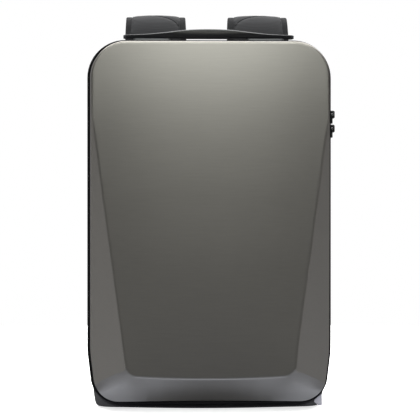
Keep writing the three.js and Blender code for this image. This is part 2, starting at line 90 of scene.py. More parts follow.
def mirrorCopy(piece, name):
    makeActive(piece)
    bpy.ops.object.duplicate()
    copied = namePiece(name, (-1, 1, 1))
    faceOutwards(copied)
    return copied


def editPiece(piece):
    makeActive(piece)
    bpy.ops.object.mode_set(mode="EDIT")
    bpy.ops.mesh.select_all(action="DESELECT")


def leaveEdit():
    bpy.ops.object.mode_set(mode="OBJECT")


def pickAll(kind=None):
    if kind:
        bpy.ops.mesh.select_mode(type=kind)
    bpy.ops.mesh.select_all(action="SELECT")


# selects the vertices, edges or faces that pass a test on their place or normal
def pick(piece, kind, test):
    bpy.ops.mesh.select_mode(type=kind)
    bpy.ops.mesh.select_all(action="DESELECT")
    mesh = bmesh.from_edit_mesh(piece.data)
    mesh.normal_update()
    for part in getattr(mesh, partLists[kind]):
        if test(part):
            part.select_set(True)
    mesh.select_flush_mode()
    bmesh.update_edit_mesh(piece.data)


def atDepth(edge, y):
    return all(abs(vert.co.y - y) < samePlace for vert in edge.verts)


def extrude(shift):
    bpy.ops.mesh.extrude_region_move(TRANSFORM_OT_translate={"value": shift})


def scalePicked(shares, centre):
    bpy.ops.transform.resize(value=shares, center_override=centre)


def roundPicked(radius, steps, kind="EDGES"):
    bpy.ops.mesh.bevel(offset=radius * mm, segments=steps, affect=kind)


# cuts off all that lies beyond a plane
def cutAway(spot, normal, solid):
    pickAll()
    bpy.ops.mesh.bisect(plane_co=spot, plane_no=normal, use_fill=solid, clear_outer=True, threshold=sameCut)


# cuts along planes across X and Z, each through what choose selects
def cutGrid(choose, xs, zs):
    planes = [(place(x, 0, 0), (1, 0, 0)) for x in xs]
    planes += [(place(0, 0, z), (0, 0, 1)) for z in zs]
    for spot, normal in planes:
        choose()
        bpy.ops.mesh.bisect(plane_co=spot, plane_no=normal)


def finishWith(piece, kind, **values):
    modifier = piece.modifiers.new(kind.lower(), kind)
    for name, value in values.items():
        setattr(modifier, name, value)
    makeActive(piece)
    bpy.ops.object.modifier_apply(modifier=modifier.name)


def easeEdges(piece, width, steps, angle):
    limit = math.radians(angle)
    finishWith(piece, "BEVEL", width=width * mm, segments=steps, limit_method="ANGLE", angle_limit=limit)


def faceOutwards(piece):
    editPiece(piece)
    pickAll()
    bpy.ops.mesh.remove_doubles(threshold=samePlace)
    bpy.ops.mesh.normals_make_consistent(inside=False)
    leaveEdit()


def subdivide(piece, levels=1):
    finishWith(piece, "SUBSURF", levels=levels, render_levels=levels)


def smoothShade(piece, degrees=60):
    makeActive(piece)
    bpy.ops.object.shade_smooth_by_angle(angle=math.radians(degrees))


def dress(piece, finish, node=None, body="bag"):
    piece.data.materials.clear()
    piece.data.materials.append(finishes[finish])
    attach(piece, body)
    if node:
        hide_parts(node)


def dressPair(left, finish, node):
    right = mirrorCopy(left, left.name.replace("left", "right"))
    dress(left, finish, node + "_left")
    dress(right, finish, node + "_right")


# Shader groups: a fine pattern over a slow drift
patternInputs = (
    ("Vector", "NodeSocketVector"),
    ("Fine", "NodeSocketFloat"),
    ("Dark", "NodeSocketColor"),
    ("Light", "NodeSocketColor"),
    ("Rough Low", "NodeSocketFloat"),
    ("Rough High", "NodeSocketFloat"),
)
patternOutputs = (
    ("Color", "NodeSocketColor"),
    ("Roughness", "NodeSocketFloat"),
    ("Height", "NodeSocketFloat"),
)
weaveLook = {
    "low": -1.0,
    "high": 1.4,
    "driftScale": 28,
    "driftDetail": 5,
    "fineShare": 0.55,
    "driftLow": -0.1,
    "driftHigh": 0.6,
}
grainLook = {
    "detail": 3,
    "roughness": 0.6,
    "driftScale": 14,
    "driftDetail": 3,
    "fineShare": 0.7,
    "driftLow": 0.0,
    "driftHigh": 0.3,
}


def newGroup(name):
    group = bpy.data.node_groups.new(name, "ShaderNodeTree")
    for label, kind in patternInputs:
        group.interface.new_socket(name=label, in_out="INPUT", socket_type=kind)
    for label, kind in patternOutputs:
        group.interface.new_socket(name=label, in_out="OUTPUT", socket_type=kind)
    return group, group.nodes.new("NodeGroupInput").outputs


# sets a node's inputs to values, or links them to outputs of other nodes
def fillInputs(tree, node, inputs):
    for label, value in inputs.items():
        if isinstance(value, bpy.types.NodeSocket):
            tree.links.new(value, node.inputs[label])
        else:
            node.inputs[label].default_value = value


def addNode(tree, kind, inputs=None, **values):
    node = tree.nodes.new(kind)
    for name, value in values.items():
        setattr(node, name, value)
    fillInputs(tree, node, inputs or {})
    return node


# linear rise from low to high as the value goes from 0 to 1
def ramp(tree, source, low, high):
    limits = {"Value": source, "To Min": low, "To Max": high}
    return addNode(tree, "ShaderNodeMapRange", limits).outputs["Result"]


def addDrift(group, vector, look):
    inputs = {"Vector": vector, "Scale": look["driftScale"], "Detail": look["driftDetail"]}
    return addNode(group, "ShaderNodeTexNoise", inputs).outputs["Fac"]


# share of the light colour
def addShares(group, fine, drift, look):
    slow = ramp(group, drift, look["driftLow"], look["driftHigh"])
    inputs = {0: fine, 1: look["fineShare"], 2: slow}
    return addNode(group, "ShaderNodeMath", inputs, operation="MULTIPLY_ADD").outputs["Value"]


def closeGroup(group, entry, shares, rough, height):
    colours = {"Factor": shares, 6: entry["Dark"], 7: entry["Light"]}  # 6 and 7 are the colours A and B
    results = {
        "Color": addNode(group, "ShaderNodeMix", colours, data_type="RGBA").outputs[2],
        "Roughness": ramp(group, rough, entry["Rough Low"], entry["Rough High"]),
        "Height": height,
    }
    addNode(group, "NodeGroupOutput", results)
    return group


def makeWeaveGroup(look):
    group, entry = newGroup("clothWeave")

    def vectors(operation, inputs, result="Vector"):
        return addNode(group, "ShaderNodeVectorMath", inputs, operation=operation).outputs[result]

    waves = vectors("SINE", {0: vectors("SCALE", {0: entry["Vector"], "Scale": entry["Fine"]})})
    apart = addNode(group, "ShaderNodeSeparateXYZ", {"Vector": waves}).outputs
    turned = addNode(group, "ShaderNodeCombineXYZ", {"X": apart["Z"], "Y": apart["X"], "Z": apart["Y"]})
    crossed = vectors("DOT_PRODUCT", {0: waves, 1: turned.outputs["Vector"]}, "Value")  # over and under
    limits = {"Value": crossed, "From Min": look["low"], "From Max": look["high"]}
    threads = addNode(group, "ShaderNodeMapRange", limits).outputs["Result"]
    drift = addDrift(group, entry["Vector"], look)
    return closeGroup(group, entry, addShares(group, threads, drift, look), drift, threads)


def makeGrainGroup(look):
    group, entry = newGroup("fineGrain")
    inputs = {
        "Vector": entry["Vector"],
        "Scale": entry["Fine"],
        "Detail": look["detail"],
        "Roughness": look["roughness"],
    }
    grain = addNode(group, "ShaderNodeTexNoise", inputs).outputs["Fac"]
    shares = addShares(group, grain, addDrift(group, entry["Vector"], look), look)
    return closeGroup(group, entry, shares, shares, grain)


# Finishes: rough is the least and the most roughness, drawn stretches the grain along X
clothBase = {
    "group": makeWeaveGroup(weaveLook),
    "rough": (0.78, 0.95),
    "bumpDepth": 0.4,
    "drawn": 1.0,
    "metallic": 0.0,
    "specular": 0.3,
}
clothColumns = ("name", "dark", "light", "fine", "bump", "sheen")
clothRows = (
    ("blackCloth", (0.006, 0.006, 0.007), (0.022, 0.022, 0.025), 2800, 0.35, 0.05),
    ("zipTape", (0.005, 0.005, 0.006), (0.016, 0.016, 0.018), 4200, 0.35, 0.0),
    ("strapCloth", (0.015, 0.015, 0.016), (0.032, 0.032, 0.034), 3100, 0.35, 0.05),
    ("strapBinding", (0.005, 0.005, 0.0056), (0.014, 0.014, 0.0152), 4600, 0.35, 0.0),
    # seam thread that is also painted shade: the dark cords in the creases beside the bindings and in the
    # fold
    ("seamThread", (0.004, 0.004, 0.005), (0.012, 0.012, 0.013), 6000, 0.35, 0.0),
    ("padMesh", (0.012, 0.012, 0.014), (0.05, 0.05, 0.054), 1900, 0.6, 0.1),
    ("webbing", (0.007, 0.007, 0.008), (0.026, 0.026, 0.029), 3600, 0.5, 0.0),
    ("greyWebbing", (0.2, 0.2, 0.23), (0.34, 0.335, 0.38), 3600, 0.5, 0.0),
)
mouldedBase = {"group": makeGrainGroup(grainLook), "bumpDepth": 0.15, "sheen": 0.0}
mouldedColumns = ("name", "dark", "light", "fine", "rough", "bump", "drawn", "metallic", "specular")
mouldedRows = (
    ("satinShell", (0.185, 0.174, 0.157), (0.225, 0.212, 0.191), 700, (0.3, 0.4), 0.04, 0.04, 0.92, 0.5),
    ("blackPiping", (0.002, 0.002, 0.0024), (0.006, 0.006, 0.007), 900, (0.6, 0.8), 0.12, 1, 0, 0.06),
    ("zipTeeth", (0.006, 0.006, 0.007), (0.012, 0.012, 0.013), 1500, (0.28, 0.42), 0.12, 1, 0, 0.5),
    ("handleGrip", (0.015, 0.015, 0.016), (0.029, 0.029, 0.031), 1100, (0.16, 0.26), 0.12, 1, 0, 0.7),
    # the feet's lighter grey is painted sheen: it stands in for light reflected off their fronts
    ("handleFoot", (0.08, 0.08, 0.083), (0.13, 0.13, 0.134), 1100, (0.35, 0.5), 0.12, 1, 0, 0.5),
    ("buckle", (0.009, 0.009, 0.01), (0.018, 0.018, 0.02), 1400, (0.38, 0.55), 0.12, 1, 0, 0.5),
    ("blackEnamel", (0.006, 0.006, 0.006), (0.016, 0.016, 0.017), 800, (0.22, 0.4), 0.12, 1, 0.6, 0.5),
)


# the group's pattern goes to colour, roughness and bump
def makeFinish(look):
    material = bpy.data.materials.new(look["name"])
    material.use_nodes = True
    tree = material.node_tree
    coords = addNode(tree, "ShaderNodeTexCoord").outputs["Object"]
    stretched = addNode(tree, "ShaderNodeMapping", {"Vector": coords, "Scale": (look["drawn"], 1, 1)})
    inputs = {
        "Vector": stretched.outputs["Vector"],
        "Fine": look["fine"],
        "Dark": (*look["dark"], 1),
        "Light": (*look["light"], 1),
        "Rough Low": look["rough"][0],
        "Rough High": look["rough"][1],
    }
    pattern = addNode(tree, "ShaderNodeGroup", inputs, node_tree=look["group"]).outputs
    relief = {"Height": pattern["Height"], "Strength": look["bump"], "Distance": look["bumpDepth"] * mm}
    surface = {
        "Base Color": pattern["Color"],
        "Roughness": pattern["Roughness"],
        "Normal": addNode(tree, "ShaderNodeBump", relief).outputs["Normal"],
        "Metallic": look["metallic"],
        "Specular IOR Level": look["specular"],
        "Sheen Weight": look["sheen"],
    }
    fillInputs(tree, tree.nodes["Principled BSDF"], surface)
    return material


finishes = {}
for row in clothRows:
    finishes[row[0]] = makeFinish(dict(zip(clothColumns, row), **clothBase))
for row in mouldedRows:
    finishes[row[0]] = makeFinish(dict(zip(mouldedColumns, row), **mouldedBase))
print("finishes ready", len(finishes))


# Outlines that follow the rim
rimSize = {
    "half": 156.0,
    "top": 474.5,
    "bottom": 9.0,
    "foot": 148.3,  # half width that the drawn-in sides would have at the bottom
    "taper": 77.0,  # below this height the sides draw in
    "taperRadius": 150.0,
    "topRadius": 48.5,
    "footRadius": 36.0,
    "cornerSteps": 14,
    "taperCuts": 4,
}


def rimShape(inset):
    shape = dict(rimSize)
    for name in ("half", "top", "foot", "topRadius", "footRadius"):
        shape[name] -= inset
    shape["bottom"] += inset
    return shape


def leanOf(shape):
    return math.atan2(shape["half"] - shape["foot"], shape["taper"] - shape["bottom"])


# cuts both sides along a fan of planes, so that they draw in towards the foot
def cutTaper(shape, solid):
    lean = leanOf(shape)
    rise = shape["taperRadius"] * math.tan(lean / 2)
    for side in (-1, 1):
        for step in range(1, shape["taperCuts"] + 1):
            turn = lean * step / shape["taperCuts"]
            x = shape["half"] - shape["taperRadius"] * (1 - math.cos(turn))
            z = shape["taper"] + rise - shape["taperRadius"] * math.sin(turn)
            cutAway(place(side * x, 0, z), (side * math.cos(turn), 0, -math.sin(turn)), solid)


# rounds the upper and lower corners: edges along Y of a block, or the points of a flat outline
def roundCorners(piece, shape, kind):
    footReach = shape["footRadius"] * math.tan((math.pi / 2 - leanOf(shape)) / 2)
    for height, reach in ((shape["top"], shape["topRadius"]), (shape["bottom"], footReach)):

        def atCorner(part):
            ends = part.verts if kind == "EDGES" else [part]
            alongY = kind == "VERTICES" or abs(ends[0].co.x - ends[1].co.x) < samePlace
            return alongY and all(abs(end.co.z - height * mm) < samePlace for end in ends)

        pick(piece, "EDGE" if kind == "EDGES" else "VERT", atCorner)
        roundPicked(reach, shape["cornerSteps"], kind)


def addOutline(name, shape, behind):
    deselectAll()
    spot = place(0, behind, (shape["top"] + shape["bottom"]) / 2)
    bpy.ops.mesh.primitive_plane_add(size=1, rotation=(math.pi / 2, 0, 0), location=spot)
    outline = namePiece(name, (2 * shape["half"] * mm, (shape["top"] - shape["bottom"]) * mm, 1))
    editPiece(outline)
    cutTaper(shape, solid=False)
    roundCorners(outline, shape, "VERTICES")
    pickAll()
    bpy.ops.mesh.delete(type="ONLY_FACE")
    leaveEdit()
    return outline


def toCurve(outline):
    makeActive(outline)
    bpy.ops.object.convert(target="CURVE")
    return bpy.context.object


# Front shell
shellSize = {
    "inset": 3.5,  # inside the piping's outer edge
    "depth": 55.0,
    "draft": 3.5,
    "topDraft": 3.2,
    "wall": 1.8,
    "edgeRound": 2.2,
    "edgeSteps": 6,
    "panelHalf": 107.8,  # half width of the centre panel at panelHeight
    "panelHeight": 79.8,
    "panelSpread": 0.135,
    "panelBottom": 48.4,
    "panelBow": 2.8,
    "panelCorner": 15.0,
    "panelFlat": 0.9999,  # least share of the normal to the front
    "panelNear": 0.05,
    "sideFall": 0.55,
    "bottomFall": 1.03,
    "cornerCuts": 5,
    "bowCuts": 5,
    "facetHeight": 125.0,
    "facetSteep": (0.35, 0.97),  # the facets' normals to the front lie between these
    "facetAcross": (*range(-144, -71, 8), *range(-60, 61, 12), *range(72, 145, 8)),
    "facetUp": (*range(14, 39, 4), *range(52, 126, 6)),
    "hollow": 21.0,  # the lower facet is pressed back this far in its middle
    "hollowHalf": 160.0,
    "hollowPeak": 90.0,
    "hollowStart": 0.55,  # share of the hollow that sets in right at the crease
    "rimKept": 2.0,
    "softFrom": 84.0,
    "softness": 120,
    "softShare": 0.5,
    "gridStep": 24.0,
    "gridAcross": range(-6, 7),
    "gridUp": range(1, 20),
    "mergeNear": 2.5,  # cuts that end this close to the panel's edge are merged with it
    "creaseAngle": 15.0,
    "creaseRound": 2.2,
    "creaseSteps": 4,
    "border": 1.5,  # narrow band that keeps the panel's shading flat up to its edge
    "crown": 5.0,
    "crownAcross": 2.2,
    "crownAlong": 2.6,
    "rimRound": 0.5,
    "rimSteps": 2,
    "rimAngle": 22.0,
    "smooth": 35.0,
    "faceWeight": 50,
}


def facetNormal(angle, fall):
    return Vector((fall * math.cos(angle), -1, fall * math.sin(angle))).normalized()


# planes that cut the facets round the centre panel, for the right half and the middle
def facetPlanes(size):
    front = -size["depth"]
    sideAngle = -math.atan(size["panelSpread"])
    sideOut = Vector((math.cos(sideAngle), math.sin(sideAngle)))
    sideNormal = facetNormal(sideAngle, size["sideFall"])
    radius = size["panelCorner"]
    height = size["panelBottom"] + radius
    reach = -radius - (height - size["panelHeight"]) * sideOut.y
    corner = Vector((size["panelHalf"] + reach / sideOut.x, height))
    bowRadius = (corner.x**2 + size["panelBow"] ** 2) / (2 * size["panelBow"])
    bowTurn = math.asin(corner.x / bowRadius)
    bowMiddle = size["panelBottom"] - size["panelBow"] + bowRadius
    bottomNormal = facetNormal(bowTurn - math.pi / 2, size["bottomFall"])
    planes = [(place(size["panelHalf"], front, size["panelHeight"]), sideNormal)]
    for step in range(1, size["cornerCuts"]):
        normal = sideNormal.slerp(bottomNormal, step / size["cornerCuts"])
        point = corner + radius * Vector((normal.x, normal.z)).normalized()
        planes.append((place(point.x, front, point.y), normal))
    for step in range(size["bowCuts"]):
        angle = bowTurn * (1 - step / (size["bowCuts"] - 1)) - math.pi / 2
        point = Vector((0, bowMiddle)) + bowRadius * Vector((math.cos(angle), math.sin(angle)))
        planes.append((place(point.x, front, point.y), facetNormal(angle, size["bottomFall"])))
    return planes


def onFacets(face, size):
    least, most = size["facetSteep"]
    return least < -face.normal.y < most and face.calc_center_median().z < size["facetHeight"] * mm


def onPanel(face, size):
    frontY = place(0, -size["depth"], 0).y
    near = abs(face.calc_center_median().y - frontY) < size["panelNear"] * mm
    return near and face.normal.y < -size["panelFlat"]


def cutFacets(shell, size):
    for point, normal in facetPlanes(size):
        for side in (1, -1) if point.x > samePlace else (1,):
            spot = (side * point.x, point.y, point.z)
            cutAway(spot, (side * normal.x, normal.y, normal.z), solid=True)
    pickAll()
    bpy.ops.mesh.normals_make_consistent(inside=False)
    pick(shell, "FACE", lambda face: face.normal.y > facing)
    bpy.ops.mesh.delete(type="FACE")
    cutGrid(
        lambda: pick(shell, "FACE", lambda face: onFacets(face, size)),
        size["facetAcross"],
        size["facetUp"],
    )


# presses the lower facet back, most in its middle
def pressHollow(shell, size, shape):
    rimY = place(0, 0, 0).y - size["rimKept"] * mm
    mesh = bmesh.from_edit_mesh(shell.data)
    for vert in mesh.verts:
        across = abs(vert.co.x) / mm / size["hollowHalf"]
        crease = size["panelBottom"] - size["panelBow"] * (1 - min(1, across) ** 2)
        down = (crease - vert.co.z / mm) / (crease - shape["bottom"])
        if across < 1 and down > 0 and vert.co.y < rimY:
            peak = (1 - across**2) / (1 + (vert.co.x / mm / size["hollowPeak"]) ** 2)
            down = min(1, down)
            press = size["hollowStart"] * down + (1 - size["hollowStart"]) * down**3
            vert.co.y += size["hollow"] * peak * press * mm
    bmesh.update_edit_mesh(shell.data)


# lets the side and lower facets run into each other softly
def softenCorners(shell, size):
    def atCorner(vert):
        beside = abs(vert.co.x) > size["softFrom"] * mm
        return beside and all(onFacets(face, size) for face in vert.link_faces)

    pick(shell, "VERT", atCorner)
    bpy.ops.mesh.vertices_smooth(factor=size["softShare"], repeat=size["softness"])


# rounds the crease round the centre panel and gives the panel its crown
def crownPanel(shell, size, shape):
    frontY = place(0, -size["depth"], 0).y
    step = size["gridStep"]

    def pickPanel():
        pick(shell, "FACE", lambda face: onPanel(face, size))

    def onCrease(edge):
        flat = [face for face in edge.link_faces if onPanel(face, size)]
        if len(flat) != 1 or len(edge.link_faces) != 2:
            return False
        return edge.calc_face_angle() > math.radians(size["creaseAngle"])

    cutGrid(
        pickPanel,
        [i * step for i in size["gridAcross"]],
        [shape["bottom"] + i * step for i in size["gridUp"]],
    )
    pick(shell, "VERT", lambda vert: abs(vert.co.y - frontY) < samePlace)
    bpy.ops.mesh.remove_doubles(threshold=size["mergeNear"] * mm)
    pick(shell, "EDGE", onCrease)
    roundPicked(size["creaseRound"], size["creaseSteps"])
    pickPanel()
    bpy.ops.mesh.inset(thickness=size["border"] * mm, use_even_offset=False)
    middle = (shape["top"] - size["topDraft"] + size["panelBottom"]) / 2
    reach = middle - size["panelBottom"] - size["creaseRound"]
    mesh = bmesh.from_edit_mesh(shell.data)
    for vert in mesh.verts:
        if abs(vert.co.y - frontY) < samePlace:
            x, z = vert.co.x / mm, vert.co.z / mm
            half = size["panelHalf"] - size["creaseRound"] + size["panelSpread"] * (z - size["panelHeight"])
            half = min(half, shape["half"] - size["draft"] - size["edgeRound"])
            across = 1 - min(1, abs(x) / half) ** size["crownAcross"]
            along = 1 - min(1, abs(z - middle) / reach) ** size["crownAlong"]
            vert.co.y -= size["crown"] * across * along * mm
    bmesh.update_edit_mesh(shell.data)


def makeShell(size):
    shape = rimShape(size["inset"])
    low = place(-shape["half"], -size["depth"], shape["bottom"])
    high = place(shape["half"], 0, shape["top"])
    shell = addBlock("front_shell_panel", low, high)
    editPiece(shell)
    cutTaper(shape, solid=True)
    roundCorners(shell, shape, "EDGES")
    pick(shell, "FACE", lambda face: face.normal.y < -facing)
    height = shape["top"] - shape["bottom"]
    draft = (1 - size["draft"] / shape["half"], 1, 1 - 2 * size["topDraft"] / height)
    scalePicked(draft, (low + high) / 2)
    pick(shell, "EDGE", lambda edge: atDepth(edge, low.y))
    roundPicked(size["edgeRound"], size["edgeSteps"])
    cutFacets(shell, size)
    pressHollow(shell, size, shape)
    softenCorners(shell, size)
    crownPanel(shell, size, shape)
    leaveEdit()
    finishWith(shell, "SOLIDIFY", thickness=size["wall"] * mm, offset=-1, use_even_offset=True)
    easeEdges(shell, size["rimRound"], size["rimSteps"], size["rimAngle"])
    smoothShade(shell, size["smooth"])
    finishWith(shell, "WEIGHTED_NORMAL", keep_sharp=True, weight=size["faceWeight"])
    return shell


frontShell = makeShell(shellSize)
dress(frontShell, "satinShell", "front_shell")
print("front shell", len(frontShell.data.polygons))


# Piping and zip round the shell's back edge
pipingSize = {"inset": 2.7, "behind": 2.6, "radius": 2.75, "rings": 4}
zipSize = {
    "tapeInset": 3.9,
    "tapeFrom": 5.2,
    "tapeTo": 25.0,
    "tapeThick": 1.7,
    "tapeEdge": 0.35,
    "tapeEdgeAngle": 60,
    "tapeCuts": (-3.4, -2.6, 2.6, 3.4),  # beside the row of teeth
    "tapeSmooth": 40,
    "middle": 12.0,
    "toothInset": 3.0,
    "toothPitch": 2.5,
    "tooth": (1.5, 3.2, 1.5),  # along the zip, across it, standing out
    "toothTip": (0.55, 1, 0.8),
    "toothEdge": 0.3,
    "toothSmooth": 30,
    "overlap": 0.9,
}


def makePiping(size):
    piping = toCurve(addOutline("rim_piping_cord", rimShape(size["inset"]), size["behind"]))
    piping.data.bevel_depth = size["radius"] * mm
    piping.data.bevel_resolution = size["rings"]
    makeActive(piping)
    bpy.ops.object.convert(target="MESH")
    piping = bpy.context.object
    faceOutwards(piping)
    smoothShade(piping)
    return piping


def makeZipTape(size):
    tape = addOutline("zip_tape_band", rimShape(size["tapeInset"]), size["tapeFrom"])
    editPiece(tape)
    pickAll()
    extrude((0, (size["tapeTo"] - size["tapeFrom"]) * mm, 0))
    for shift in size["tapeCuts"]:
        pickAll()
        bpy.ops.mesh.bisect(plane_co=place(0, size["middle"] + shift, 0), plane_no=(0, 1, 0))
    leaveEdit()
    faceOutwards(tape)
    finishWith(tape, "SOLIDIFY", thickness=size["tapeThick"] * mm, offset=0)
    easeEdges(tape, size["tapeEdge"], 2, size["tapeEdgeAngle"])
    smoothShade(tape, size["tapeSmooth"])
    return tape


# one tooth, copied along the zip by an array bent round the outline
def makeZipTeeth(size):
    path = toCurve(addOutline("zip_path", rimShape(size["toothInset"]), size["middle"]))
    pitch = size["toothPitch"] * mm
    along, across, out = (value * mm for value in size["tooth"])
    rows = []
    for side in (-1, 1):
        deselectAll()
        shift = pitch * (0.25 + 0.25 * side)  # the two rows stand half a pitch apart
        spot = (shift, side * (across / 2 - size["overlap"] * mm), 0)
        bpy.ops.mesh.primitive_cube_add(size=1, location=spot)
        row = namePiece("zip_row", (along, across, out))
        editPiece(row)
        pick(row, "FACE", lambda face: face.normal.y * side < -facing)
        scalePicked(size["toothTip"], (shift, 0, 0))
        pick(row, "EDGE", lambda edge: all(vert.co.z < 0 for vert in edge.verts))
        roundPicked(size["toothEdge"], 1)
        leaveEdit()
        finishWith(
            row,
            "ARRAY",
            fit_type="FIT_CURVE",
            curve=path,
            use_relative_offset=False,
            use_constant_offset=True,
            constant_offset_displace=(pitch, 0, 0),
        )
        finishWith(row, "CURVE", object=path, deform_axis="POS_X")
        rows.append(row)
    teeth = joinPieces(rows, "zip_teeth")
    bpy.data.objects.remove(path)
    smoothShade(teeth, size["toothSmooth"])
    return teeth


dress(makePiping(pipingSize), "blackPiping", "rim_piping")
dress(makeZipTape(zipSize), "zipTape", "zip_tape")
zipTeeth = makeZipTeeth(zipSize)
dress(zipTeeth, "zipTeeth")
print("piping and zip", len(zipTeeth.data.polygons))


# Soft rear body, lofted through its sections
bodyColumns = ("behind", "half", "top", "bottom", "foot", "topRadius", "footRadius", "lift")
bodyRows = (
    (33, 152.2, 470.6, 12.8, 144.6, 45, 33, 0),
    (19.3, 154.6, 473, 2, 147, 49, 37, 4.5),
    (25, 154.8, 472, 0, 148, 49, 35, 3.5),
    (37, 154, 472, 0, 148.4, 48, 25, 1),
    (50, 153, 472, 0, 148, 47, 12, 0),
    (60, 152, 472, 0, 147.4, 46, 4, 0),
    (84, 149, 468, 0, 146, 45, 4, 0),
    (91.5, 147, 466, 0, 144.6, 44, 4, 0),
    (95, 142, 461, 5, 140, 41, 4, 0),
)
bodySize = {
    "taper": 97.0,
    "acrossCuts": range(-96, 97, 24),
    "heightCuts": range(120, 421, 25),
    "middle": 240.0,
    "backShares": (0.97, 0.9, 0.6),  # each ring on the back against the one before it
    "rounding": 2,
    "slackFrom": 30.0,  # behind the rim
    "slackTo": 90.0,
    "slackLow": 30.0,  # no slack below this height
    "slackRise": 60.0,
    "ripple": 1.6,
    "rippleLength": 52.0,
}


def addSection(section, size):
    loop = addOutline("body_section", section, section["behind"])
    editPiece(loop)
    cutGrid(pickAll, size["acrossCuts"], size["heightCuts"])
    leaveEdit()
    middle = size["middle"] * mm
    for vert in loop.data.vertices:  # the base rises a little towards its front corners
        low = min(1, max(0, (middle - vert.co.z) / middle))
        vert.co.z += section["lift"] * mm * (vert.co.x / (section["foot"] * mm)) ** 2 * low**4
    return loop


def makeBody(size):
    sections = [dict(rimSize, **dict(zip(bodyColumns, row))) for row in bodyRows]
    for section in sections:
        section["taper"] = size["taper"]
    depths = [place(0, section["behind"], 0).y for section in sections]
    body = joinPieces([addSection(section, size) for section in sections], "rear_body_cloth")
    editPiece(body)
    for near, far in zip(depths, depths[1:]):
        pick(body, "EDGE", lambda edge: atDepth(edge, near) or atDepth(edge, far))
        bpy.ops.mesh.bridge_edge_loops()
    pick(body, "EDGE", lambda edge: atDepth(edge, depths[-1]))
    bpy.ops.mesh.edge_face_add()
    middle = place(0, sections[-1]["behind"], size["middle"])
    for share in size["backShares"]:
        extrude((0, 0, 0))
        scalePicked((share, 1, share), middle)
    leaveEdit()
    faceOutwards(body)
    subdivide(body, size["rounding"])
    start, end = (place(0, size[name], 0).y for name in ("slackFrom", "slackTo"))
    for vert in body.data.vertices:  # slack cloth between the zip and the back edge
        free = max(0, (vert.co.y - start) * (end - vert.co.y)) * 4 / (end - start) ** 2
        free *= min(1, max(0, vert.co.z / mm - size["slackLow"]) / size["slackRise"])
        shift = noise.noise(vert.co / (size["rippleLength"] * mm)) * size["ripple"] * mm
        vert.co += vert.normal * shift * free
    smoothShade(body)
    return body


rearBody = makeBody(bodySize)
dress(rearBody, "blackCloth", "rear_body")
print("rear body", len(rearBody.data.polygons))


# Padded pieces: remesh, then a short cloth run with air inside
puffSize = {"quality": 6, "mass": 0.3, "smoothShare": 0.5, "smooth": 80}


def runCloth(piece, size, held):
    start = [vert.co.copy() for vert in piece.data.vertices]
    grip = piece.vertex_groups.new(name="held")
    grip.add([i for i, at in enumerate(start) if held(at)], 1.0, "REPLACE")
    cloth = piece.modifiers.new("cloth", "CLOTH")
    cloth.settings.quality = puffSize["quality"]
    cloth.settings.mass = puffSize["mass"]
    cloth.settings.use_pressure = True
    cloth.settings.uniform_pressure_force = size["pressure"]
    cloth.settings.effector_weights.gravity = 0
    cloth.settings.vertex_group_mass = "held"
    cloth.collision_settings.use_collision = False
    for step in range(1, size["frames"] + 1):
        scene.frame_set(step)
    makeActive(piece)
    bpy.ops.object.modifier_apply(modifier=cloth.name)
    piece.vertex_groups.clear()
    scene.frame_set(1)
    for vert, at in zip(piece.data.vertices, start):
        moved = vert.co - at
        if moved.length > size["cap"] * mm:
            vert.co = at + moved.normalized() * size["cap"] * mm


def puffUp(piece, size, held):
    finishWith(piece, "REMESH", mode="VOXEL", voxel_size=size["voxel"] * mm)
    runCloth(piece, size, held)
    finishWith(piece, "SMOOTH", factor=puffSize["smoothShare"], iterations=size["smoothing"])
    subdivide(piece)
    smoothShade(piece, puffSize["smooth"])


# stations on a smooth line through the rows of a table
def smoothRows(columns, rows, count):
    stations = []
    last = len(rows) - 1
    for i in range(count + 1):
        share = i * last / count
        first = min(int(share), last - 1)
        share -= first
        near = [rows[min(max(first + k, 0), last)] for k in (-1, 0, 1, 2)]
        values = []
        for a, b, c, d in zip(*near):
            bend = 3 * (b - c) + d - a
            values.append(b + 0.5 * share * (c - a + share * (2 * a - 5 * b + 4 * c - d + share * bend)))
        stations.append(dict(zip(columns, values)))
    return stations


# gives each station its place and the line's lean about X
def addLean(stations):
    lean = 0
    for i, here in enumerate(stations):
        before = stations[max(i - 1, 0)]
        after = stations[min(i + 1, len(stations) - 1)]
        turn = math.atan2(before["behind"] - after["behind"], after["z"] - before["z"])
        lean += (turn - lean + math.pi) % (2 * math.pi) - math.pi  # no jump of a whole turn
        here["lean"] = lean
        here["at"] = place(here["x"], here["behind"], here["z"])
    return stations


# a rounded flat section that is extruded from station to station
def sweepStrip(name, stations, wide, thick, roundness):
    first = stations[0]
    deselectAll()
    bpy.ops.mesh.primitive_plane_add(size=1, location=first["at"], rotation=(first["lean"], 0, 0))
    strip = namePiece(name, (wide(first) * mm, thick * mm, 1))
    editPiece(strip)
    pickAll("VERT")
    roundPicked(roundness * thick, 4, "VERTICES")
    pickAll("FACE")
    for last, here in zip(stations, stations[1:]):
        spot = here["at"]
        extrude(spot - last["at"])
        bpy.ops.transform.rotate(value=last["lean"] - here["lean"], orient_axis="X", center_override=spot)
        scalePicked((wide(here) / wide(last), 1, 1), spot)
    leaveEdit()
    faceOutwards(strip)
    return strip
